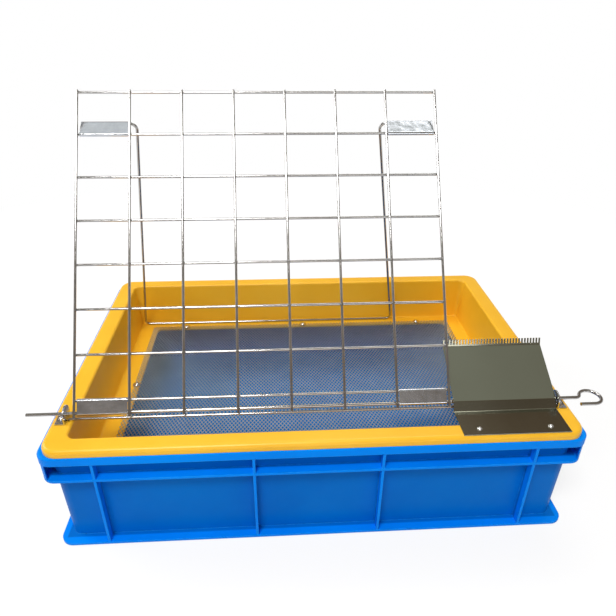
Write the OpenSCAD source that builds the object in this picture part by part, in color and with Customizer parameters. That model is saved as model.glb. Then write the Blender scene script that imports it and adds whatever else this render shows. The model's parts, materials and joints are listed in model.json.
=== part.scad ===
// Uncapping tank: a stacking crate, a strainer tray that stands on its rim, a wire rack that
// swings on a pull-out rod, the stand that props the rack up, and a comb for cleaning tools.
// The origin is the middle of the crate's base. X runs along the length, Y to the back, Z up.

/* [Crate] */
// Length over the rim
crate_l = 600; // [580:5:700]
// Width over the rim
crate_w = 400; // [390:5:460]
// Height from the base to the top of the rim
crate_h = 135; // [125:1:200]
// Corner radius of the rim, the belt and the foot
crate_corner_r = 16; // [14:0.5:20]
// Corner radius of the wall at its top
wall_corner_r = 14; // [12:0.5:18]
// Thickness of the wall
crate_wall = 3; // [2:0.1:3.4]
// Thickness of the floor and of the foot round its edge
crate_floor_t = 3; // [2:0.1:6]
// How far the rim stands out from the wall at the short sides
rim_out_x = 9; // [8:0.5:10]
// How far the rim stands out from the wall at the long sides
rim_out_y = 11.5; // [9:0.5:12]
// Height of the lip round the rim
crate_lip_h = 10.5; // [7:0.5:14]
// Thickness of the rim, the belt and the ribs
crate_flange_t = 3; // [2.5:0.1:4]
// Rounding of the rim's upper edge
crate_edge_r = 2; // [1:0.1:2.4]
// How far the wall leans in from its top to its base
crate_draft = 3; // [1:0.5:5]
// Distance from the top of the rim down to the underside of the belt
crate_belt_down = 35; // [28:1:60]
// How far the belt stays inside the edge of the rim
crate_belt_in = 0.5; // [0.2:0.1:0.5]
// How far the foot stays inside the edge of the rim
crate_foot_in = 1; // [0.5:0.5:4]
// Distance of the inner ribs from the middle of the long sides
rib_in_x = 71; // [50:1:120]
// Distance of the inner ribs from the middle of the short sides
rib_in_y = 62; // [50:1:90]
// Distance of the outer ribs from the ends of the long and short sides
rib_end_in = 58; // [55:1:80]

/* [Tray] */
// How far the rim of the tray stays inside the crate's rim at the short sides
tray_inset_x = 5; // [3:0.5:8]
// How far the rim of the tray stays inside the crate's rim at the long sides
tray_inset_y = 1; // [0.5:0.1:3]
// Corner radius of the tray's rim
tray_corner_r = 19; // [17:0.5:24]
// Corner radius of the tray's opening
open_corner_r = 9.5; // [9.5:0.5:14]
// Width of the flat rim at the short sides
tray_band_x = 24.5; // [24:0.5:26]
// Width of the flat rim at the long sides
tray_band_y = 21.5; // [20:0.5:23]
// Height of the rim's skirt, which stands on the crate
tray_skirt_h = 9; // [9:0.5:14]
// Depth from the top of the rim to the floor
tray_depth = 66; // [40:1:100]
// Thickness of the tray's wall and floor
tray_wall = 2.5; // [2:0.1:3.5]
// How far the wall leans in from the rim to the floor
tray_draft = 5; // [2:0.5:5]
// Rounding of the rim's outer edge
tray_edge_r = 5; // [4:0.5:7]
// Rounding of the rim's inner edge
tray_lip_r = 3; // [3:0.5:5]
// Fillet between the wall and the floor
tray_fillet_r = 3; // [2:0.5:4]

/* [Strainer mesh] */
// Bare floor between the mesh and the short walls
mesh_margin_x = 20; // [12:1:40]
// Bare floor between the mesh and the long walls
mesh_margin_y = 14; // [12:1:40]
// How far the mesh laps over the floor
mesh_lap = 8; // [8:0.5:12]
// Thickness of the mesh
mesh_t = 1.2; // [0.8:0.1:2]
// Width of a strand of the net
net_strand = 1.6; // [1:0.1:3]
// Gaps of the net along the length
net_cols = 20; // [8:1:20]
// Gaps of the net across the width
net_rows = 14; // [6:1:14]

/* [Fasteners] */
// Diameter of the mesh rivets
rivet_d = 3.2; // [2.4:0.1:4]
// Diameter of the rivet heads
rivet_head_d = 6.5; // [5:0.1:8]
// Diameter of the washers under the rivet heads
washer_d = 10; // [8.5:0.5:12]
// Thickness of the washers
washer_t = 0.8; // [0.5:0.1:1.5]
// Diameter of the bolts
bolt_d = 3; // [2.5:0.1:4]
// Diameter of the bolt heads
bolt_head_d = 6; // [5:0.1:7]
// Width of the nuts across their flats
nut_af = 5.5; // [4.5:0.1:7]
// Thickness of the nuts
nut_t = 2.4; // [1.8:0.1:3]

/* [Pivot rod] */
// Diameter of the rod
rod_d = 4; // [3:0.1:5]
// Height of the rod's axis above the tray's rim
rod_lift = 7.8; // [7:0.1:9]
// Distance of the rod's axis from the tray's front edge
rod_back = 51.6; // [46:0.5:70]
// How far the rod stands out past the tray's left edge
rod_out_left = 26; // [15:1:60]
// Straight length of rod past the tray's right edge
rod_out_right = 8; // [6:1:40]
// Radius of the handle's ring
loop_r = 12; // [9:0.5:20]
// Radius of the bend from the rod into the ring
loop_bend_r = 6; // [4:0.5:8]
// Straight length between that bend and the ring
loop_neck = 2; // [1:0.5:6]
// Straight end of the ring
loop_tail = 17; // [4:0.5:18]
// Distance of the lugs from the rim's inner edge
lug_set = 7; // [7:0.5:9]
// Width of the lugs
lug_w = 20; // [14:1:26]
// Thickness of the lugs
lug_t = 1.5; // [1:0.1:2]
// Length of the lugs' feet
lug_foot = 10; // [8:0.5:10]

/* [Stop wire] */
// Diameter of the stop wire
stop_d = 3; // [2.5:0.1:3.5]
// How far the stop wire lies in front of the rod's axis
stop_set = 1.8; // [0:0.1:2.5]
// Length of the bent ends
stop_leg = 9; // [6:0.5:9]

/* [Rack] */
// Diameter of the rack's wires
wire_d = 3; // [2.5:0.1:3.5]
// Number of upright wires
rack_cols = 8; // [6:1:10]
// Number of crossbars
rack_rows = 8; // [6:1:10]
// Distance of the first upright from the tray's left edge
rack_left_in = 27; // [24:1:60]
// Height of the first crossbar above the rod's axis
bar_first = 13.7; // [11:0.1:20]
// Distance from crossbar to crossbar
bar_pitch = 50.8; // [45:0.1:56]
// How far the uprights reach below the rod's axis
upright_tail = 4.8; // [2:0.1:4.8]
// Angle of the rack from upright
rack_lean = 34.3; // [28:0.1:40]
// Thickness of the hinge plates
plate_t = 0.9; // [0.6:0.1:1.2]
// Distance of the stand's pivot above its crossbar
pivot_up = 15.5; // [12:0.5:20]
// Distance of the stand's pivot behind the rod's axis
pivot_back = 5.7; // [5.7:0.1:8]

/* [Stand] */
// Diameter of the stand's wire
stand_d = 3.5; // [3:0.1:4]
// Radius of its bends
stand_bend_r = 7; // [6:0.5:12]
// How far the foot's left end stays inside the rack's first upright
stand_foot_left = 8; // [8:1:20]
// How far the foot's right end stays inside the rack's last upright
stand_foot_right = 2; // [2:1:20]
// Distance of the legs' tops from the uprights beside them
stand_top_in = 6; // [5:0.5:12]
// Distance of the foot's axis from the back wall at the floor
stand_back = 5.7; // [3:0.1:20]

/* [Comb plate] */
// Width of the comb plate
comb_w = 120; // [80:1:160]
// Distance of its right edge from the tray's right edge
comb_right_in = 18.5; // [18.5:0.5:30]
// Distance of its front edge from the tray's front edge
comb_front_in = 2.5; // [2.5:0.5:8]
// Depth of the flange on the rim
comb_flange = 39.5; // [34:0.5:40]
// Depth of the step
comb_step_w = 6; // [5:0.5:8]
// Height of the step
comb_step_h = 10; // [9.5:0.5:16]
// Length of the sloping plate
comb_len = 70; // [40:1:90]
// Slope of the plate
comb_slope = 29.5; // [25:0.5:40]
// Height of the lip that carries the teeth
comb_lip = 8.5; // [7.5:0.5:14]
// Slope of the lip
comb_lip_slope = 70; // [50:1:90]
// Length of the teeth
tooth_h = 6; // [3:0.5:7]
// Distance from tooth to tooth
tooth_pitch = 3.6; // [3:0.1:8]
// Thickness of the sheet
comb_t = 1; // [0.6:0.1:1.5]
// Distance of the bolts from the middle of the plate
comb_bolt_x = 40; // [20:1:42]
// Distance of the bolts from the tray's front edge
comb_bolt_in = 12; // [11:0.5:14]

/* [Hidden] */
$fn = 64;
// Overrun of every cut
over = 1;
// Steps of a rounded edge
arc_steps = 6;
// Clearance of a pin that turns in a rolled knuckle or a lug
run_gap = 0.06;
// Clearance of a bolt or a rivet in its hole
hole_gap = 0.15;
// Clearance of wires that are welded or wrapped, and of what lies on the tray
seat_gap = 0.05;
// Clearance of wires that pass each other
wire_gap = 0.3;
// Set-back of the crate's ribs from the edges of its flanges
rib_set = 0.6;
// Angle by which the skirts of the crate's short sides run on round its corners
skirt_turn = 60;
// Clearance between the hinge plates and the uprights beside them
plate_side_gap = 1;
// Clearance between the rack's last upright and the comb plate
rack_comb_gap = 3;
// Clearance of the stop wire's bent ends in the rim, and their bend radius
stop_hole_gap = 0.5;
stop_bend_r = 2;
// Collars in the bends of a wire: half their length, their lip and the gap they bridge
joint_reach = 0.3;
joint_lip = 0.05;
joint_gap = 0.08;
// Rounding of the comb plate's bends
comb_bend_r = 2;
// Height of a bolt head, of a rivet head and of a rivet's closed end
bolt_head_h = 2.2;
rivet_head_h = 1.6;
rivet_tail_h = 1.2;
// Length of bolt that shows below its nut
bolt_end = 0.6;
// Overlap of the flat of the tray's rim with the edges beside it
tray_seam = 2;
// Rounding of the opening in the tray's floor
cut_r = 6;
// Hem round the net
net_hem = 8;
// Spread of the rivets along the mesh
rivet_spread_share = 0.78;

// Crate
lip_base_z = crate_h - crate_lip_h;
rim_base_z = crate_h - crate_flange_t;
rib_out_x = crate_l / 2 - rib_end_in;
rib_out_y = crate_w / 2 - rib_end_in;
crate_belt_z = crate_h - crate_belt_down;
function lean_in(z) = crate_draft * (1 - z / crate_h);

// Tray
tray_l = crate_l - 2 * tray_inset_x;
tray_w = crate_w - 2 * tray_inset_y;
tray_top = crate_h + tray_skirt_h;
tray_floor = tray_top - tray_depth;
open_l = tray_l - 2 * tray_band_x;
open_w = tray_w - 2 * tray_band_y;
floor_x = open_corner_r - tray_draft;
floor_end_x = floor_x - tray_fillet_r;
wall_half_x = open_l / 2 - tray_draft;
wall_half_y = open_w / 2 - tray_draft;
rim_under = tray_top - tray_wall;

// Mesh
mesh_l = 2 * (wall_half_x - mesh_margin_x);
mesh_w = 2 * (wall_half_y - mesh_margin_y);
mesh_top = tray_floor + mesh_t;
gap_l = (mesh_l - 2 * net_hem - (net_cols - 1) * net_strand) / net_cols;
gap_w = (mesh_w - 2 * net_hem - (net_rows - 1) * net_strand) / net_rows;
rivet_x = mesh_l / 2 * rivet_spread_share;
rivet_edge_x = mesh_l / 2 - mesh_lap / 2;
rivet_edge_y = mesh_w / 2 - mesh_lap / 2;
rivets = concat(
    [for (x = [-rivet_x, 0, rivet_x], side = [-1, 1]) [x, side * rivet_edge_y]],
    [for (side = [-1, 1]) [side * rivet_edge_x, 0]]
);

// Rod and lugs
rod_y = rod_back - tray_w / 2;
rod_z = tray_top + rod_lift;
rod_start = -tray_l / 2 - rod_out_left;
rod_end = tray_l / 2 + rod_out_right;
loop_reach = loop_bend_r + loop_r;
loop_turn = acos(loop_bend_r / norm([loop_reach, loop_neck])) - atan2(loop_neck, loop_reach);
loop_x = loop_reach * sin(loop_turn) + loop_neck * cos(loop_turn);
lug_x = open_l / 2 + lug_set;
lug_bolt_x = lug_x + lug_t + lug_foot / 2;

// Stop wire
stop_y = rod_y - stop_set;
stop_z = tray_top + stop_d / 2 + seat_gap;
stop_x = lug_x - stop_hole_gap - stop_d / 2;

// Comb plate
comb_right = tray_l / 2 - comb_right_in;
comb_left = comb_right - comb_w;
comb_front = comb_front_in - tray_w / 2;
comb_z = tray_top + comb_t / 2;
comb_path = [
    [comb_front, comb_z],
    [comb_front + comb_flange, comb_z],
    [comb_front + comb_flange + comb_step_w, comb_z + comb_step_h],
    [comb_front + comb_flange + comb_step_w, comb_z + comb_step_h] + along(comb_slope, comb_len),
    [comb_front + comb_flange + comb_step_w, comb_z + comb_step_h] + along(comb_slope, comb_len)
        + along(comb_lip_slope, comb_lip)
];
comb_top = comb_path[len(comb_path) - 1];
tooth_count = round((comb_w / tooth_pitch + 1) - 0.5);
tooth_w = comb_w / (2 * tooth_count - 1);
comb_bolt_y = comb_bolt_in - tray_w / 2;
comb_bolts_x = [for (side = [-1, 1]) (comb_left + comb_right) / 2 + side * comb_bolt_x];

// Rack: places in its own frame, whose origin is on the rod and whose z runs up the rack
upright_y = -(rod_d / 2 + wire_gap + wire_d / 2);
bar_y = upright_y + wire_d + seat_gap;
rack_left = rack_left_in - tray_l / 2;
rack_right = comb_left - rack_comb_gap - wire_d / 2;
col_pitch = (rack_right - rack_left) / (rack_cols - 1);
bar_top = bar_first + (rack_rows - 1) * bar_pitch;
stand_bar_z = bar_first + (rack_rows - 2) * bar_pitch;
pivot_s = stand_bar_z + pivot_up;
plate_w = col_pitch - wire_d - 2 * plate_side_gap;
plate_lefts = [for (col = [0, rack_cols - 2]) col_x(col) + wire_d / 2 + plate_side_gap];
function col_x(i) = rack_left + i * col_pitch;
function bar_z(j) = bar_first + j * bar_pitch;

// Stand: its pivot and its foot, and its shape in its own plane
pivot_y = rod_y + pivot_back * cos(rack_lean) + pivot_s * sin(rack_lean);
pivot_z = rod_z - pivot_back * sin(rack_lean) + pivot_s * cos(rack_lean);
foot_y = wall_half_y - stand_back;
foot_z = tray_floor + stand_d / 2 + wire_gap;
stand_tilt = atan2(foot_y - pivot_y, pivot_z - foot_z);
stand_len = norm([foot_y - pivot_y, pivot_z - foot_z]);
stand_path = [
    [plate_lefts[0] + plate_side_gap, 0],
    [col_x(1) + stand_top_in, 0],
    [rack_left + stand_foot_left, -stand_len],
    [rack_right - stand_foot_right, -stand_len],
    [col_x(rack_cols - 2) - stand_top_in, 0],
    [plate_lefts[1] + plate_w - plate_side_gap, 0]
];

// Plane geometry
function along(angle, length) = length * [cos(angle), sin(angle)];
function unit(v) = v / norm(v);
function left_of(v) = [-v[1], v[0]];
function turn_at(a, b, c) = atan2(cross(b - a, c - b), (b - a) * (c - b));
function arc(centre, r, from, to) =
    [for (k = [0:arc_steps]) centre + along(from + (to - from) * k / arc_steps, r)];
function heading(a, b) = atan2(b[1] - a[1], b[0] - a[0]);

// Where a bend of radius r begins before the corner b, and its centre
function bend_cut(a, b, c, r) = r * tan(abs(turn_at(a, b, c)) / 2);
function bend_centre(a, b, c, r) =
    b - unit(b - a) * bend_cut(a, b, c, r) + left_of(unit(b - a)) * r * sign(turn_at(a, b, c));
function bend_from(a, b, c) = heading(a, b) - 90 * sign(turn_at(a, b, c));

// A path with its corners rounded, and the outline of a sheet along it
function round_path(p, r) = concat(
    [p[0]],
    [for (i = [1:len(p) - 2])
        let (a = p[i - 1], b = p[i], c = p[i + 1], from = bend_from(a, b, c))
            each arc(bend_centre(a, b, c, r), r, from, from + turn_at(a, b, c))],
    [p[len(p) - 1]]
);
function path_side(p, i) = unit(left_of(
    (i == 0 ? [0, 0] : unit(p[i] - p[i - 1]))
    + (i == len(p) - 1 ? [0, 0] : unit(p[i + 1] - p[i]))));
function sheet(p, t) = concat(
    [for (i = [0:len(p) - 1]) p[i] + path_side(p, i) * t / 2],
    [for (i = [len(p) - 1:-1:0]) p[i] - path_side(p, i) * t / 2]
);

// A rectangle with round corners
module round_rect(l, w, r) {
    square([l - 2 * r, w], center = true);
    square([l, w - 2 * r], center = true);
    for (x = [-1, 1], y = [-1, 1]) translate([x * (l / 2 - r), y * (w / 2 - r)]) circle(r);
}

// Sweeps a profile round a rectangle with round corners, x counting outward from their centres
module sweep_round(l, w, r) {
    run_x = l / 2 - r;
    run_y = w / 2 - r;
    for (side = [0, 1]) {
        mirror([0, side, 0]) translate([-run_x, run_y, 0])
            rotate([90, 0, 90]) linear_extrude(2 * run_x) children();
        mirror([side, 0, 0]) translate([run_x, run_y, 0])
            rotate([90, 0, 0]) linear_extrude(2 * run_y) children();
    }
    for (x = [0, 1], y = [0, 1])
        mirror([x, 0, 0]) mirror([0, y, 0]) translate([run_x, run_y, 0])
            rotate_extrude(angle = 90) children();
}

// Extrudes an outline drawn in Y and Z along X
module along_x(from, length) {
    translate([from, 0, 0]) rotate([90, 0, 90]) linear_extrude(length) children();
}

// A straight length of wire in the XY plane
module wire_run(p, q, d) {
    translate([p[0], p[1], 0]) rotate([0, 90, heading(p, q)]) cylinder(d = d, h = norm(q - p));
}

// A bend of wire in the XY plane. Collars join its parts to each other and to the straight
// lengths at its ends, apart from a square bend, which meets them flush.
module wire_bend(centre, r, from, sweep, d, collars = true) {
    parts = ceil(abs(sweep) / 180);
    turn = abs(sweep) / parts;
    gap_turn = collars ? asin(joint_gap / r) : 0;
    joint_turn = asin(joint_reach / r);
    translate([centre[0], centre[1], 0]) rotate([0, 0, sweep > 0 ? from : from + sweep]) {
        for (k = [0:parts - 1])
            rotate([0, 0, k * turn + gap_turn]) rotate_extrude(angle = turn - 2 * gap_turn)
                translate([r, 0]) circle(d = d);
        if (collars) for (k = [0:parts])
            rotate([0, 0, k * turn - joint_turn]) rotate_extrude(angle = 2 * joint_turn)
                translate([r, 0]) circle(d = d + 2 * joint_lip);
    }
}

// Wire bent along a path in the XY plane
module bent_wire(p, d, r, collars = true) {
    last = len(p) - 1;
    cuts = [for (i = [0:last])
        i == 0 || i == last ? 0 : bend_cut(p[i - 1], p[i], p[i + 1], r)];
    for (i = [0:last - 1])
        let (u = unit(p[i + 1] - p[i]))
            wire_run(p[i] + u * cuts[i], p[i + 1] - u * cuts[i + 1], d);
    for (i = [1:last - 1])
        let (a = p[i - 1], b = p[i], c = p[i + 1], turn = turn_at(a, b, c))
            wire_bend(bend_centre(a, b, c, r), r, bend_from(a, b, c), turn, d, collars);
}

// Frames of the parts that swing
module on_rod() {
    translate([0, rod_y, rod_z]) children();
}

module on_rack() {
    on_rod() rotate([-rack_lean, 0, 0]) children();
}

module on_pivot() {
    translate([0, pivot_y, pivot_z]) rotate([stand_tilt, 0, 0]) children();
}

// A bolt with a domed head that stands on top, and its nut under the rim
module bolt(p, top) {
    dome_r = (pow(bolt_head_d / 2, 2) + pow(bolt_head_h, 2)) / (2 * bolt_head_h);
    under = rim_under - nut_t - bolt_end;
    translate([p[0], p[1], top]) intersection() {
        cylinder(d = bolt_head_d, h = bolt_head_h);
        translate([0, 0, bolt_head_h - dome_r]) sphere(dome_r);
    }
    translate([p[0], p[1], under]) cylinder(d = bolt_d, h = top - under);
}

module nut(p) {
    translate([p[0], p[1], rim_under - nut_t]) difference() {
        cylinder(d = nut_af / cos(30), h = nut_t, $fn = 6);
        translate([0, 0, -over]) cylinder(d = bolt_d + 2 * seat_gap, h = nut_t + 2 * over);
    }
}

// The section of the crate's wall, whose lower end is let into the floor
module crate_wall_section() {
    low_z = crate_floor_t / 2;
    low_x = wall_corner_r - lean_in(low_z);
    polygon([
        [low_x - crate_wall, low_z],
        [low_x, low_z],
        [wall_corner_r, crate_h],
        [wall_corner_r - crate_wall, crate_h]
    ]);
}

// The section of the lip that hangs from the edge of the rim
module crate_lip_section() {
    polygon(concat(
        [[crate_corner_r - crate_flange_t, lip_base_z], [crate_corner_r, lip_base_z]],
        arc([crate_corner_r - crate_edge_r, crate_h - crate_edge_r], crate_edge_r, 0, 90),
        [[crate_corner_r - crate_flange_t, crate_h]]
    ));
}

// A flange round the wall
module crate_flange(z, inset) {
    sunk = lean_in(z) + crate_wall / 2;
    translate([0, 0, z]) linear_extrude(crate_flange_t) difference() {
        round_rect(crate_l - 2 * inset, crate_w - 2 * inset, crate_corner_r - inset);
        round_rect(crate_l - 2 * (rim_out_x + sunk), crate_w - 2 * (rim_out_y + sunk), wall_corner_r - sunk);
    }
}

// A rib from the foot to the rim, drawn inward from the edge of the rim
module crate_rib(rim_out) {
    rotate([90, 0, 0]) translate([0, 0, -crate_flange_t / 2]) linear_extrude(crate_flange_t)
        polygon([
            [-rim_out - crate_draft - crate_wall / 2, crate_floor_t / 2],
            [-crate_foot_in - rib_set, crate_floor_t / 2],
            [-rib_set, lip_base_z],
            [-rib_set, crate_h - crate_flange_t / 2],
            [-rim_out - crate_wall / 2, crate_h - crate_flange_t / 2]
        ]);
}

// Skirts close the gap between the belt and the lip from the short sides' outer ribs to the corners
module crate_skirts() {
    deep = crate_flange_t - rib_set;
    stop_l = crate_l - 2 * crate_corner_r * (1 - cos(skirt_turn));
    translate([0, 0, crate_belt_z + crate_flange_t / 2]) linear_extrude(lip_base_z - crate_belt_z) difference() {
        round_rect(crate_l - 2 * rib_set, crate_w - 2 * rib_set, crate_corner_r - rib_set);
        round_rect(crate_l - 2 * deep, crate_w - 2 * deep, crate_corner_r - deep);
        square([crate_l, 2 * rib_out_y], center = true);
        square([stop_l, crate_w], center = true);
    }
}

module crate() {
    foot_l = crate_l - 2 * crate_foot_in;
    foot_w = crate_w - 2 * crate_foot_in;
    wall_l = crate_l - 2 * rim_out_x;
    wall_w = crate_w - 2 * rim_out_y;
    color("dodgerblue") {
        linear_extrude(crate_floor_t) round_rect(foot_l, foot_w, crate_corner_r - crate_foot_in);
        sweep_round(wall_l, wall_w, wall_corner_r) crate_wall_section();
        sweep_round(crate_l, crate_w, crate_corner_r) crate_lip_section();
        crate_flange(rim_base_z, crate_flange_t);
        crate_flange(crate_belt_z, crate_belt_in);
        crate_skirts();
        for (side = [0, 1]) {
            for (x = [-rib_out_x, -rib_in_x, rib_in_x, rib_out_x])
                mirror([0, side, 0]) translate([x, crate_w / 2, 0]) rotate([0, 0, 90]) crate_rib(rim_out_y);
            for (y = [-rib_out_y, -rib_in_y, rib_in_y, rib_out_y])
                mirror([side, 0, 0]) translate([crate_l / 2, y, 0]) crate_rib(rim_out_x);
        }
    }
}

// The section of the tray's skirt and of the round edge above it
module tray_edge_section() {
    bend = [tray_corner_r - tray_edge_r, tray_top - tray_edge_r];
    polygon(concat(
        [[tray_corner_r - tray_wall, crate_h], [tray_corner_r, crate_h]],
        arc(bend, tray_edge_r, 0, 90),
        [[bend[0] - tray_seam, tray_top], [bend[0] - tray_seam, rim_under]],
        arc(bend, tray_edge_r - tray_wall, 90, 0)
    ));
}

// The section of the tray from the rim's inner edge down the wall to the floor
module tray_wall_section() {
    lean = atan2(tray_draft, tray_depth);
    lip_x = open_corner_r + tray_lip_r;
    polygon(concat(
        arc([lip_x, tray_top - tray_lip_r], tray_lip_r, 90, 180 - lean),
        arc([floor_end_x, tray_floor + tray_fillet_r], tray_fillet_r, -lean, -90),
        [[floor_end_x, tray_floor - tray_wall], [floor_x + tray_wall, tray_floor - tray_wall]],
        [[open_corner_r + tray_wall, rim_under], [lip_x + tray_seam, rim_under]],
        [[lip_x + tray_seam, tray_top]]
    ));
}

// The flat of the rim between the round edge and the opening
module tray_band() {
    edge = tray_edge_r + tray_seam / 2;
    lip = tray_lip_r + tray_seam / 2;
    translate([0, 0, rim_under]) linear_extrude(tray_wall) difference() {
        round_rect(tray_l - 2 * edge, tray_w - 2 * edge, tray_corner_r - edge);
        round_rect(open_l + 2 * lip, open_w + 2 * lip, open_corner_r + lip);
    }
}

module tray() {
    floor_in = tray_draft + tray_fillet_r;
    color("gold") difference() {
        union() {
            sweep_round(tray_l, tray_w, tray_corner_r) tray_edge_section();
            tray_band();
            sweep_round(open_l, open_w, open_corner_r) tray_wall_section();
            translate([0, 0, tray_floor - tray_wall]) linear_extrude(tray_wall) difference() {
                round_rect(open_l - 2 * floor_in, open_w - 2 * floor_in, floor_end_x);
                round_rect(mesh_l - 2 * mesh_lap, mesh_w - 2 * mesh_lap, cut_r);
                for (p = rivets) translate(p) circle(d = rivet_d + 2 * hole_gap);
            }
        }
        for (side = [-1, 1]) {
            rim_hole([side * lug_bolt_x, rod_y], bolt_d + 2 * hole_gap);
            rim_hole([side * stop_x, stop_y], stop_d + 2 * stop_hole_gap);
        }
        for (x = comb_bolts_x) rim_hole([x, comb_bolt_y], bolt_d + 2 * hole_gap);
    }
}

// A hole through the tray's rim
module rim_hole(p, d) {
    translate([p[0], p[1], rim_under - over]) cylinder(d = d, h = tray_wall + 2 * over);
}

module strainer_mesh() {
    first_x = net_hem - mesh_l / 2;
    first_y = net_hem - mesh_w / 2;
    color("lightsteelblue") translate([0, 0, tray_floor]) linear_extrude(mesh_t) difference() {
        square([mesh_l, mesh_w], center = true);
        for (i = [0:net_cols - 1], j = [0:net_rows - 1])
            translate([first_x + i * (gap_l + net_strand), first_y + j * (gap_w + net_strand)])
                square([gap_l, gap_w]);
        for (p = rivets) translate(p) circle(d = rivet_d + 2 * hole_gap);
    }
}

module mesh_washers() {
    color("silver") for (p = rivets) translate([p[0], p[1], mesh_top]) difference() {
        cylinder(d = washer_d, h = washer_t);
        translate([0, 0, -over]) cylinder(d = rivet_d + 2 * hole_gap, h = washer_t + 2 * over);
    }
}

module mesh_rivets() {
    head_r = (pow(rivet_head_d / 2, 2) + pow(rivet_head_h, 2)) / (2 * rivet_head_h);
    head_z = mesh_top + washer_t;
    tail_z = tray_floor - tray_wall;
    color("gainsboro") for (p = rivets) translate([p[0], p[1], 0]) {
        translate([0, 0, head_z]) intersection() {
            cylinder(d = rivet_head_d, h = rivet_head_h);
            translate([0, 0, rivet_head_h - head_r]) sphere(head_r);
        }
        translate([0, 0, tail_z]) cylinder(d = rivet_d, h = head_z - tail_z);
        translate([0, 0, tail_z - rivet_tail_h]) cylinder(d = rivet_head_d, h = rivet_tail_h);
    }
}

// The rod ends in a level ring, bent to the back first and closed at the front
module pivot_rod() {
    ring = [rod_end + loop_x, 0];
    bend = [rod_end, loop_bend_r];
    color("silver") on_rod() {
        wire_run([rod_start, 0], [rod_end, 0], rod_d);
        wire_bend(bend, loop_bend_r, -90, loop_turn, rod_d);
        wire_run(bend + along(loop_turn - 90, loop_bend_r), ring + along(loop_turn + 90, loop_r), rod_d);
        wire_bend(ring, loop_r, loop_turn + 90, -loop_turn - 180, rod_d);
        wire_run(ring - [0, loop_r], ring - [loop_tail, loop_r], rod_d);
    }
}

// A lug at the right-hand end of the rod: an ear with the rod's hole, and a foot on the rim
module rod_lug() {
    along_x(lug_x, lug_t) difference() {
        union() {
            translate([rod_y - lug_w / 2, tray_top]) square([lug_w, rod_lift]);
            translate([rod_y, rod_z]) circle(d = lug_w);
        }
        translate([rod_y - lug_w / 2, tray_top - lug_w]) square([lug_w, lug_w]);
        translate([rod_y, rod_z]) circle(d = rod_d + 2 * run_gap);
    }
    difference() {
        translate([lug_x + lug_t, rod_y - lug_w / 2, tray_top]) cube([lug_foot, lug_w, lug_t]);
        translate([lug_bolt_x, rod_y, tray_top - over])
            cylinder(d = bolt_d + 2 * hole_gap, h = lug_t + 2 * over);
    }
}

module left_rod_lug() {
    color("silver") mirror([1, 0, 0]) rod_lug();
}

module right_rod_lug() {
    color("silver") rod_lug();
}

module lug_bolts() {
    color("gainsboro") for (side = [-1, 1]) bolt([side * lug_bolt_x, rod_y], tray_top + lug_t);
}

module lug_nuts() {
    color("gainsboro") for (side = [-1, 1]) nut([side * lug_bolt_x, rod_y]);
}

// The stop wire lies across the tray under the rod, with its ends bent down through the rim
module stop_wire() {
    path = [[-stop_x, -stop_leg], [-stop_x, 0], [stop_x, 0], [stop_x, -stop_leg]];
    color("silver") translate([0, stop_y, stop_z]) rotate([90, 0, 0])
        bent_wire(path, stop_d, stop_bend_r, collars = false);
}

module grid_upright(i) {
    color("silver") on_rack() translate([col_x(i), upright_y, -upright_tail])
        cylinder(d = wire_d, h = upright_tail + bar_top + wire_d / 2);
}

module grid_crossbar(j) {
    color("silver") on_rack() translate([rack_left - wire_d / 2, bar_y, bar_z(j)])
        rotate([0, 90, 0]) cylinder(d = wire_d, h = rack_right - rack_left + wire_d);
}

// A sheet strip, wrapped round a crossbar at one edge and rolled round a pin at the other.
// Its front face runs along the common tangent of the two rolls.
module hinge_plate(from, bar, pin, pin_d) {
    bar_bore = wire_d / 2 + seat_gap;
    pin_bore = pin_d / 2 + run_gap;
    line = pin - bar;
    tilt = (bar_bore - pin_bore) / norm(line);
    front_side = sign(left_of(line) * [-1, 0]);
    face = unit(line) * tilt + left_of(unit(line)) * front_side * sqrt(1 - tilt * tilt);
    outer = plate_t - seat_gap;
    strip = [
        bar + face * (bar_bore + outer),
        pin + face * (pin_bore + outer),
        pin + face * (pin_bore - seat_gap),
        bar + face * (bar_bore - seat_gap)
    ];
    color("lightsteelblue") on_rack() along_x(from, plate_w) difference() {
        union() {
            translate(bar) circle(bar_bore + plate_t);
            translate(pin) circle(pin_bore + plate_t);
            polygon([for (k = [0:len(strip) - 1]) strip[front_side > 0 ? len(strip) - 1 - k : k]]);
        }
        translate(bar) circle(bar_bore);
        translate(pin) circle(pin_bore);
    }
}

module lower_hinge_plate(k) {
    hinge_plate(plate_lefts[k], [bar_y, bar_first], [0, 0], rod_d);
}

module upper_hinge_plate(k) {
    hinge_plate(plate_lefts[k], [bar_y, stand_bar_z], [pivot_back, pivot_s], stand_d);
}

// The stand is one wire: its ends turn in the upper plates and its foot stands in the tray
module prop_stand() {
    color("silver") on_pivot() rotate([90, 0, 0]) bent_wire(stand_path, stand_d, stand_bend_r);
}

module comb_plate() {
    color("darkgray") difference() {
        along_x(comb_left, comb_w) polygon(sheet(round_path(comb_path, comb_bend_r), comb_t));
        for (x = comb_bolts_x) translate([x, comb_bolt_y, tray_top - over])
            cylinder(d = bolt_d + 2 * hole_gap, h = comb_t + 2 * over);
        for (k = [0:tooth_count - 2])
            translate([comb_left + (2 * k + 1) * tooth_w, comb_top[0], comb_top[1]])
                rotate([comb_lip_slope - 90, 0, 0]) translate([0, -comb_t, -tooth_h])
                    cube([tooth_w, 2 * comb_t, tooth_h + over]);
    }
}

module comb_bolts() {
    color("gainsboro") for (x = comb_bolts_x) bolt([x, comb_bolt_y], tray_top + comb_t);
}

module comb_nuts() {
    color("gainsboro") for (x = comb_bolts_x) nut([x, comb_bolt_y]);
}

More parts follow.
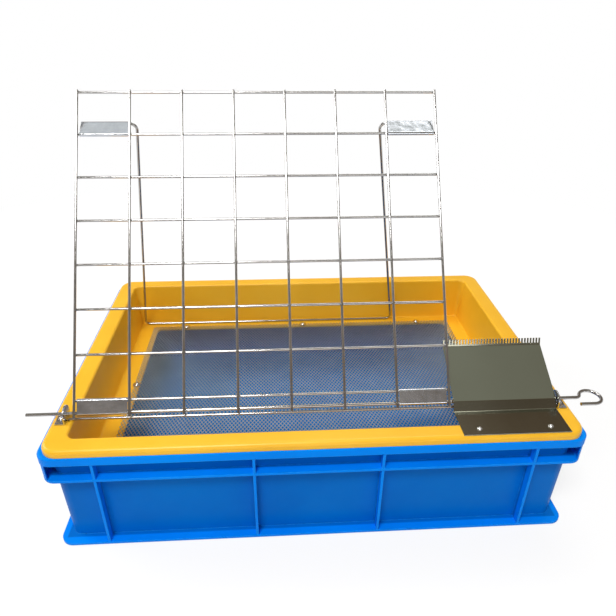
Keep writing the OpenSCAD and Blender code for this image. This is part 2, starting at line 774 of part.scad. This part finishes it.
crate();
tray();
strainer_mesh();
mesh_washers();
mesh_rivets();
pivot_rod();
left_rod_lug();
right_rod_lug();
lug_bolts();
lug_nuts();
stop_wire();
for (i = [0:rack_cols - 1])
    grid_upright(i);
for (j = [0:rack_rows - 1])
    grid_crossbar(j);
lower_hinge_plate(0);  // lower_left_hinge_plate
lower_hinge_plate(1);  // lower_right_hinge_plate
upper_hinge_plate(0);  // upper_left_hinge_plate
upper_hinge_plate(1);  // upper_right_hinge_plate
prop_stand();
comb_plate();
comb_bolts();
comb_nuts();
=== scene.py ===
import json
import math

import bpy
from mathutils import Matrix, Vector


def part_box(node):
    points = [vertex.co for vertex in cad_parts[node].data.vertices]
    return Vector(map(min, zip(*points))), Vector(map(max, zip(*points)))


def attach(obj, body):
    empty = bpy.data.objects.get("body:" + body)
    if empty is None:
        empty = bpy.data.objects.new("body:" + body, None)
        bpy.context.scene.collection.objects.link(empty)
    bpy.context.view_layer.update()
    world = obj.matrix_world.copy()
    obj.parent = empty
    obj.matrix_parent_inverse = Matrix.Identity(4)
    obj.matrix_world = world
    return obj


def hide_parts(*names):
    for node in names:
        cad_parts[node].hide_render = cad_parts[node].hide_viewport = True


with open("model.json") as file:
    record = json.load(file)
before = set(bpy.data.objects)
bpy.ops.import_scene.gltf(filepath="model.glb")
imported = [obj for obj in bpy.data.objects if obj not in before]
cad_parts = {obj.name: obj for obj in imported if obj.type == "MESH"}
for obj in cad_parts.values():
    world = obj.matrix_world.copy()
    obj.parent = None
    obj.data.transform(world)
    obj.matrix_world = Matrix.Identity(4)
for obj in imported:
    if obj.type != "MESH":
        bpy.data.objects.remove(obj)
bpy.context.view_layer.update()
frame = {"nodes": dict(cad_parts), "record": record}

nodes = frame["nodes"]
scene = bpy.context.scene
scene.view_settings.view_transform = "Standard"

WHITE = (1.0, 1.0, 1.0)

# Camera, fitted to the crate's rim and the rack's grid. Angles are in radians, the sensor in millimetres.
IMAGE_WIDTH_PIXELS = 616.0
FOCAL_LENGTH_PIXELS = 555.81
SENSOR_WIDTH = 36.0
NEAREST_SEEN = 0.01
CAMERA_PLACE = Vector((-0.0428, -0.6417, 0.5565))
CAMERA_PITCH = 0.5103
CAMERA_YAW = 0.0647
CAMERA_ROLL = 0.0093


def look(place, pitch, yaw, roll):
    """The matrix of a camera that looks along +Y at zero angles, and down as its pitch grows."""
    forward = Vector((math.sin(yaw) * math.cos(pitch), math.cos(yaw) * math.cos(pitch), -math.sin(pitch)))
    level = Vector((math.cos(yaw), -math.sin(yaw), 0.0))
    steep = level.cross(forward)
    right = math.cos(roll) * level + math.sin(roll) * steep
    up = -math.sin(roll) * level + math.cos(roll) * steep
    matrix = Matrix((right, up, -forward)).transposed().to_4x4()
    matrix.translation = place
    return matrix


camera_data = bpy.data.cameras.new("camera")
camera_data.sensor_fit = "HORIZONTAL"
camera_data.sensor_width = SENSOR_WIDTH
camera_data.lens = SENSOR_WIDTH * FOCAL_LENGTH_PIXELS / IMAGE_WIDTH_PIXELS
camera_data.clip_start = NEAREST_SEEN
camera = bpy.data.objects.new("camera", camera_data)
camera.matrix_world = look(CAMERA_PLACE, CAMERA_PITCH, CAMERA_YAW, CAMERA_ROLL)
scene.collection.objects.link(camera)
scene.camera = camera


# Node trees
class Nodes:
    """A node tree with shorthands. Its textures follow one output of Texture Coordinate."""

    # Places of the colour sockets on a Mix node
    COLOUR_A = 6
    COLOUR_B = 7
    COLOUR_RESULT = 2

    def __init__(self, tree, space):
        self.tree = tree
        self.coords = self.add("ShaderNodeTexCoord").outputs[space]

    def add(self, kind, **props):
        node = self.tree.nodes.new(kind)
        for key, value in props.items():
            setattr(node, key, value)
        return node

    def link(self, source, socket):
        self.tree.links.new(source, socket)

    def fill(self, socket, value):
        """Puts a colour or a number on a socket, or links another node's output to it."""
        if isinstance(value, tuple):
            socket.default_value = (*value, 1.0)
        elif isinstance(value, float):
            socket.default_value = value
        else:
            self.link(value, socket)

    def calc(self, operation, *values):
        node = self.add("ShaderNodeMath", operation=operation)
        for value, socket in zip(values, node.inputs):
            self.link(value, socket)
        return node.outputs[0]

    def axes(self, vector):
        """The outputs X, Y and Z of a vector."""
        node = self.add("ShaderNodeSeparateXYZ")
        self.link(vector, node.inputs["Vector"])
        return node.outputs

    def noise(self, scale, detail, rough=0.5, stretch=None):
        node = self.add("ShaderNodeTexNoise")
        for key, value in (("Scale", scale), ("Detail", detail), ("Roughness", rough)):
            node.inputs[key].default_value = value
        source = self.coords
        if stretch:
            mapping = self.add("ShaderNodeMapping")
            mapping.inputs["Scale"].default_value = stretch
            self.link(self.coords, mapping.inputs["Vector"])
            source = mapping.outputs["Vector"]
        self.link(source, node.inputs["Vector"])
        return node.outputs["Fac"]

    def ramp(self, value, *stops):
        """A colour ramp with stops of (place, colour)."""
        node = self.add("ShaderNodeValToRGB")
        elements = node.color_ramp.elements
        while len(elements) < len(stops):
            elements.new(0.5)
        for element, (place, colour) in zip(elements, stops):
            element.position = place
            element.color = (*colour, 1.0)
        self.link(value, node.inputs["Fac"])
        return node.outputs["Color"]

    def span(self, value, low, high, start=0.0, end=1.0):
        """Goes from low to high as the value goes from start to end."""
        node = self.add("ShaderNodeMapRange")
        for key, number in (("From Min", start), ("From Max", end), ("To Min", low), ("To Max", high)):
            node.inputs[key].default_value = number
        self.link(value, node.inputs["Value"])
        return node.outputs["Result"]

    def mix(self, share, first, second, blend="MIX"):
        node = self.add("ShaderNodeMix", data_type="RGBA", blend_type=blend)
        self.fill(node.inputs["Factor"], share)
        self.fill(node.inputs[self.COLOUR_A], first)
        self.fill(node.inputs[self.COLOUR_B], second)
        return node.outputs[self.COLOUR_RESULT]


class Material(Nodes):
    """A material in its object's own coordinates."""

    BEVEL_SAMPLES = 6
    BLOCK_FADE = 0.002

    def __init__(self, name):
        self.data = bpy.data.materials.new(name)
        self.data.use_nodes = True
        super().__init__(self.data.node_tree, "Object")
        self.bsdf = self.tree.nodes["Principled BSDF"]

    def put(self, **sockets):
        for key, value in sockets.items():
            self.fill(self.bsdf.inputs[key.replace("_", " ")], value)

    def rounded(self, radius):
        """The normal with its edges rounded."""
        node = self.add("ShaderNodeBevel", samples=self.BEVEL_SAMPLES)
        node.inputs["Radius"].default_value = radius
        return node.outputs["Normal"]

    def bump(self, *layers, bevel=None):
        """Layers of (height, strength, distance), over edges rounded by the bevel."""
        normal = self.rounded(bevel) if bevel else None
        for height, strength, distance in layers:
            node = self.add("ShaderNodeBump")
            node.inputs["Strength"].default_value = strength
            node.inputs["Distance"].default_value = distance
            self.link(height, node.inputs["Height"])
            if normal:
                self.link(normal, node.inputs["Normal"])
            normal = node.outputs["Normal"]
        self.put(Normal=normal)

    def edges(self, radius, sharp, smooth):
        """1 along sharp edges and 0 on faces, by how far the rounded normal turns."""
        dot = self.add("ShaderNodeVectorMath", operation="DOT_PRODUCT")
        self.link(self.rounded(radius), dot.inputs[0])
        self.link(self.add("ShaderNodeNewGeometry").outputs["Normal"], dot.inputs[1])
        return self.span(dot.outputs["Value"], 1.0, 0.0, sharp, smooth)

    def inside(self, half):
        """1 within a block of these half sizes in x and y round the origin, 0 outside it."""
        near = [
            self.span(self.calc("ABSOLUTE", along), 1.0, 0.0, limit - self.BLOCK_FADE, limit)
            for along, limit in zip(self.axes(self.coords), half)
        ]
        return self.calc("MULTIPLY", *near)


# Moulded plastic: noise scales per metre, widths and depths in metres
MOTTLE_SCALE = 9.0
SCUFF_SCALE = 140.0
GLOSS_SCALE = 45.0
WAVE_SCALE = 18.0
PIT_SCALE = 1500.0
WORN_WIDTH = 0.0016
EDGE_ROUNDING = 0.0009
WAVE_STRENGTH = 0.12
WAVE_DEPTH = 0.002
PIT_DEPTH = 0.0002
PLASTIC_IOR = 1.49


def plastic(name, dark, base, pale, rough, grain, sheen, tint, painted_shade_blocks=()):
    """Moulded plastic: faint mottling, a fine eroded grain, worn edges, and painted shade multiplied into
    blocks over recesses.
    """
    material = Material(name)
    mottle = material.noise(MOTTLE_SCALE, detail=4.0, rough=0.6)
    colour = material.ramp(mottle, (0.3, dark), (0.5, base), (0.75, pale))
    # painted shade: each block multiplies the colour within it by its tone
    for half, shade_tone in painted_shade_blocks:
        colour = material.mix(material.inside(half), colour, shade_tone, "MULTIPLY")
    scuff = material.noise(SCUFF_SCALE, detail=5.0, rough=0.7)
    scuff = material.span(scuff, 0.0, 0.55, start=0.35, end=0.75)
    wear = material.calc("MULTIPLY", material.edges(WORN_WIDTH, sharp=0.82, smooth=0.995), scuff)
    worn = tuple(min(1.0, channel * 1.35 + 0.05) for channel in pale)
    gloss = material.noise(GLOSS_SCALE, detail=4.0, rough=0.65)
    waves = material.noise(WAVE_SCALE, detail=2.0)
    pits = material.noise(PIT_SCALE, detail=2.0, rough=0.6)
    material.bump((waves, WAVE_STRENGTH, WAVE_DEPTH), (pits, grain, PIT_DEPTH), bevel=EDGE_ROUNDING)
    material.put(
        Base_Color=material.mix(wear, colour, worn),
        Roughness=material.span(gloss, rough - 0.06, rough + 0.09),
        IOR=PLASTIC_IOR,
        Specular_IOR_Level=sheen,
        Specular_Tint=tint,
    )
    return material.data


# Steel: noise scale per metre, depths in metres
LINE_SCALE = 900.0
LINE_STRENGTH = 0.06
LINE_DEPTH = 0.0002
DENT_DEPTH = 0.004


def steel(name, dark, pale, rough, smudge_scale, bevel=None, stretch=None, dents=None, metallic=1.0):
    """Stainless steel: smudges, fine lines along the stretch, and dents of (scale, strength)."""
    material = Material(name)
    smudges = material.noise(smudge_scale, detail=5.0, rough=0.6)
    lines = material.noise(LINE_SCALE, detail=3.0, rough=0.6, stretch=stretch)
    layers = [(lines, LINE_STRENGTH, LINE_DEPTH)]
    if dents:
        dent_scale, dent_strength = dents
        layers.insert(0, (material.noise(dent_scale, detail=2.0), dent_strength, DENT_DEPTH))
    material.bump(*layers, bevel=bevel)
    smudged = material.span(smudges, rough - 0.05, rough + 0.06)
    material.put(
        Base_Color=material.ramp(smudges, (0.3, dark), (0.7, pale)),
        Roughness=material.calc("ADD", smudged, material.span(lines, -0.05, 0.05)),
        Metallic=metallic,
    )
    return material.data


# Blocks of painted shade on the crate, one over its walls under the rim and one over its inside, by how far
# they stay within the crate's own box
crate_low, crate_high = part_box("crate")
WALL_SET_BACK = (0.0065, 0.009)
INSIDE_SET_BACK = (0.0145, 0.0175)


def crate_block(set_back):
    return [(crate_high[axis] - crate_low[axis]) / 2 - gap for axis, gap in enumerate(set_back)]


# Painted shade: each tone multiplies what the one before it left, so the wall tone darkens the walls and the
# inside, and the inside tone takes back some green and blue there
WALL_PAINTED_SHADE = (0.60, 0.60, 0.60)
INSIDE_PAINTED_SHADE_TINT = (1.0, 1.35, 1.1)

looks = {
    "crate_plastic": plastic(
        "crate_plastic", dark=(0.0, 0.225, 0.90), base=(0.0, 0.25, 0.96), pale=(0.0, 0.275, 1.0),
        rough=0.40, grain=0.10, sheen=0.14, tint=(0.1, 0.5, 1.0),
        # painted shade on the crate's walls under the rim and on its inside
        painted_shade_blocks=((crate_block(WALL_SET_BACK), WALL_PAINTED_SHADE), (crate_block(INSIDE_SET_BACK), INSIDE_PAINTED_SHADE_TINT)),
    ),
    "tray_plastic": plastic(
        "tray_plastic", dark=(0.87, 0.455, 0.018), base=(0.91, 0.495, 0.023), pale=(0.94, 0.535, 0.034),
        rough=0.34, grain=0.08, sheen=0.45, tint=(1.0, 0.95, 0.8),
    ),
    "wire_steel": steel(
        "wire_steel", dark=(0.40, 0.395, 0.39), pale=(0.49, 0.485, 0.48), rough=0.15, smudge_scale=40.0,
    ),
    "sheet_steel": steel(
        "sheet_steel", dark=(0.52, 0.545, 0.585), pale=(0.63, 0.655, 0.70), rough=0.21, smudge_scale=60.0,
        bevel=0.0003, stretch=(0.05, 1.0, 1.0), dents=(60.0, 0.12),
    ),
    "comb_steel": steel(
        "comb_steel", dark=(0.265, 0.265, 0.205), pale=(0.29, 0.29, 0.23), rough=0.13, smudge_scale=5.0,
        bevel=0.0003, stretch=(1.0, 0.04, 0.04), dents=(9.0, 0.10),
    ),
    "fastener_steel": steel(
        "fastener_steel", dark=(0.62, 0.62, 0.62), pale=(0.82, 0.82, 0.82), rough=0.18, smudge_scale=300.0,
        bevel=0.0002,
    ),
    "mesh_steel": steel(
        "mesh_steel", dark=(0.33, 0.375, 0.385), pale=(0.42, 0.475, 0.485), rough=0.40, smudge_scale=60.0,
        metallic=0.45,
    ),
}
for part in frame["record"]["subparts"]:
    mesh = nodes[part["node"]].data
    mesh.materials.clear()
    mesh.materials.append(looks[part["material_slot"]])


# Pieces of the scene's own
def piece(name, verts, faces, body, slot):
    mesh = bpy.data.meshes.new(name)
    mesh.from_pydata([tuple(v) for v in verts], [], faces)
    mesh.polygons.foreach_set("use_smooth", [True] * len(mesh.polygons))
    mesh.materials.append(looks[slot])
    obj = bpy.data.objects.new(name, mesh)
    scene.collection.objects.link(obj)
    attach(obj, body)
    return obj


# Strainer mesh: straight wires laid on the bias, one layer over the other
STRAINER_WIRE_R = 0.00052
STRAINER_CELL_X = 0.0048
STRAINER_CELL_Y = 0.0076


def bias_wire(start, end, side, rise):
    """A straight wire of four sides, with closed ends."""
    verts = [centre + offset for centre in (start, end) for offset in (-side, -rise, side, rise)]
    faces = [(c, (c + 1) % 4, 4 + (c + 1) % 4, 4 + c) for c in range(4)]
    return verts, faces + [(3, 2, 1, 0), (4, 5, 6, 7)]


def strainer_wires():
    low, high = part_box("strainer_mesh")
    depth = high.y - low.y
    rise = Vector((0.0, 0.0, STRAINER_WIRE_R))
    verts, faces = [], []
    for lean, z in ((1, high.z - STRAINER_WIRE_R), (-1, low.z + STRAINER_WIRE_R)):
        slope = lean * STRAINER_CELL_X / STRAINER_CELL_Y
        reach = abs(slope) * depth
        first = low.x - (reach if lean > 0 else 0.0)
        along = Vector((slope, 1.0, 0.0)).normalized()
        side = Vector((along.y, -along.x, 0.0)) * STRAINER_WIRE_R
        for i in range(int((high.x - low.x + reach) / STRAINER_CELL_X) + 1):
            # a wire enters and leaves the mesh at these depths behind its front edge
            x = first + (i + 0.5) * STRAINER_CELL_X
            at_sides = [(low.x - x) / slope, (high.x - x) / slope]
            enters = max(0.0, min(at_sides)) + STRAINER_WIRE_R
            leaves = min(depth, max(at_sides)) - STRAINER_WIRE_R
            if leaves - enters < STRAINER_CELL_Y:
                continue
            start, end = (
                Vector((x + slope * y, low.y + y, z))
                for y in (enters + STRAINER_WIRE_R, leaves - STRAINER_WIRE_R)
            )
            base = len(verts)
            wire, skin = bias_wire(start, end, side, rise)
            verts += wire
            faces += [tuple(base + k for k in face) for face in skin]
    return verts, faces


strainer = piece("strainer_wires", *strainer_wires(), "tray", "mesh_steel")
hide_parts("strainer_mesh")

# Welds where the rack's wires cross
GRID_WIRES = 8
WELD_RINGS = 6
WELD_SIDES = 8
WELD_R = 0.0019
WELD_UNEVEN = 0.00025
WELD_PHASE_ACROSS = 5.1
WELD_PHASE_UP = 3.7
WELD_THICK = 0.0013
WELD_FORWARD = 0.0015


def ball(rings, sides):
    """A ball of radius 1."""
    verts = [(0.0, 0.0, -1.0)]
    for r in range(1, rings):
        tilt = math.pi * r / rings
        for k in range(sides):
            turn = 2 * math.pi * k / sides
            verts.append((math.sin(tilt) * math.cos(turn), math.sin(tilt) * math.sin(turn), -math.cos(tilt)))
    verts.append((0.0, 0.0, 1.0))
    top = len(verts) - 1
    faces = [(0, 1 + (k + 1) % sides, 1 + k) for k in range(sides)]
    for r in range(rings - 2):
        base = 1 + r * sides
        for k in range(sides):
            n = (k + 1) % sides
            faces.append((base + k, base + n, base + sides + n, base + sides + k))
    base = top - sides
    faces += [(base + k, base + (k + 1) % sides, top) for k in range(sides)]
    return verts, faces


def middle_of(name):
    low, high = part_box(name)
    return (Vector(low) + Vector(high)) / 2


def weld_beads():
    bars = [middle_of(f"grid_crossbar_{j + 1}") for j in range(GRID_WIRES)]
    columns = [middle_of(f"grid_upright_{i + 1}").x for i in range(GRID_WIRES)]
    across = Vector((1.0, 0.0, 0.0))
    up = (bars[-1] - bars[0]).normalized()
    back = up.cross(across)
    shape, skin = ball(WELD_RINGS, WELD_SIDES)
    verts, faces = [], []
    for j, bar in enumerate(bars):
        for i, x in enumerate(columns):
            phase = WELD_PHASE_ACROSS * i + WELD_PHASE_UP * j
            radius = WELD_R + WELD_UNEVEN * math.sin(phase)
            centre = Vector((x, bar.y, bar.z)) - back * WELD_FORWARD
            base = len(verts)
            for a, b, c in shape:
                verts.append(centre + across * (a * radius) + back * (b * WELD_THICK) + up * (c * radius))
            faces += [tuple(base + k for k in face) for face in skin]
    return verts, faces


piece("weld_beads", *weld_beads(), "rack", "wire_steel")


# Stage
def seen_white(tree, mirrored=None):
    """1 for rays that see white: the camera's, those through glass, and glossy ones where mirrored is 1."""
    path = tree.add("ShaderNodeLightPath").outputs
    glossy = path["Is Glossy Ray"]
    if mirrored:
        glossy = tree.calc("MULTIPLY", glossy, mirrored)
    straight = tree.calc("MAXIMUM", path["Is Camera Ray"], path["Is Transmission Ray"])
    return tree.calc("MAXIMUM", straight, glossy)


# Near the object the floor is lit and keeps its shadow. Further out it turns into plain white.
FLOOR_HALF = 6.0
FLOOR_Z = -0.0006
FLOOR_COLOUR = (0.55, 0.55, 0.55)
FLOOR_ROUGHNESS = 0.9
LIT_WITHIN = 0.45
WHITE_FROM = 1.3
WHITE_SHARE_NEAR = 0.55
GLOW_NEAR = 1.4


def floor_material():
    material = Material("floor")
    material.put(Base_Color=FLOOR_COLOUR, Roughness=FLOOR_ROUGHNESS)
    distance = material.add("ShaderNodeVectorMath", operation="LENGTH")
    material.link(material.coords, distance.inputs[0])
    away = distance.outputs["Value"]
    white_share = material.span(away, WHITE_SHARE_NEAR, 1.0, LIT_WITHIN, WHITE_FROM)
    glow = material.add("ShaderNodeEmission")
    material.fill(glow.inputs["Color"], WHITE)
    material.link(material.span(away, GLOW_NEAR, 1.0, LIT_WITHIN, WHITE_FROM), glow.inputs["Strength"])
    mixer = material.add("ShaderNodeMixShader")
    material.link(material.calc("MULTIPLY", seen_white(material), white_share), mixer.inputs["Fac"])
    material.link(material.bsdf.outputs["BSDF"], mixer.inputs[1])
    material.link(glow.outputs["Emission"], mixer.inputs[2])
    material.link(mixer.outputs["Shader"], material.tree.nodes["Material Output"].inputs["Surface"])
    return material.data


corners = [(x * FLOOR_HALF, y * FLOOR_HALF, FLOOR_Z) for x, y in ((-1, -1), (1, -1), (1, 1), (-1, 1))]
floor_mesh = bpy.data.meshes.new("floor")
floor_mesh.from_pydata(corners, [], [(0, 1, 2, 3)])
floor_mesh.materials.append(floor_material())
floor = bpy.data.objects.new("floor", floor_mesh)
scene.collection.objects.link(floor)

# The room by height, from the horizon up to overhead, and the brown, dark and pale things in it
ROOM = (
    (0.0, (0.30, 0.28, 0.25)),
    (0.30, (0.20, 0.175, 0.15)),
    (0.65, (0.32, 0.285, 0.25)),
    (0.95, (0.42, 0.43, 0.39)),
)
CLUTTER = (
    (0.36, (0.62, 0.50, 0.40)),
    (0.45, (0.86, 0.77, 0.69)),
    (0.52, (1.0, 1.0, 1.0)),
    (0.66, (1.35, 1.38, 1.42)),
)
CLUTTER_SCALE = 2.6

world = bpy.data.worlds.new("world")
world.use_nodes = True
scene.world = world
sky = Nodes(world.node_tree, "Generated")
direction = sky.axes(sky.coords)
clutter = sky.ramp(sky.noise(CLUTTER_SCALE, detail=2.0), *CLUTTER)
room = sky.mix(1.0, sky.ramp(direction["Z"], *ROOM), clutter, "MULTIPLY")
# Steel mirrors a white sheet behind the object, up to a height above the horizon, and elsewhere the room
sheet_top = sky.span(direction["Z"], 1.0, 0.0, start=0.20, end=0.32)
sheet_front = sky.span(direction["Y"], 0.0, 1.0, start=0.0, end=0.3)
white = seen_white(sky, sky.calc("MULTIPLY", sheet_top, sheet_front))
sky.link(sky.mix(white, room, WHITE), sky.tree.nodes["Background"].inputs["Color"])


# Lamps
def softbox(name, place, aim, size, watts, tint=WHITE):
    data = bpy.data.lights.new(name, "AREA")
    data.shape = "RECTANGLE"
    data.size, data.size_y = size
    data.energy = watts
    data.color = tint
    obj = bpy.data.objects.new(name, data)
    obj.location = place
    obj.rotation_euler = (Vector(aim) - Vector(place)).to_track_quat("-Z", "Y").to_euler()
    scene.collection.objects.link(obj)


softbox("key", place=(-0.45, -1.15, 1.95), aim=(0.0, 0.0, 0.15), size=(0.6, 0.5), watts=28.5)
softbox("side", place=(-1.7, 0.5, 1.1), aim=(0.0, 0.0, 0.15), size=(0.9, 0.9), watts=14.0)
softbox("top", place=(0.4, 0.9, 2.0), aim=(0.0, 0.0, 0.1), size=(1.2, 0.7), watts=12.0)
softbox("front", place=(0.1, -1.8, 0.25), aim=(0.0, 0.0, 0.1), size=(1.4, 0.4), watts=5.0)
# the upper left hinge plate mirrors this one
softbox(
    "window", place=(-0.69, 0.34, 2.0), aim=(-0.24, 0.04, 0.42), size=(0.6, 0.6), watts=0.75,
    tint=(0.86, 0.94, 1.0),
)
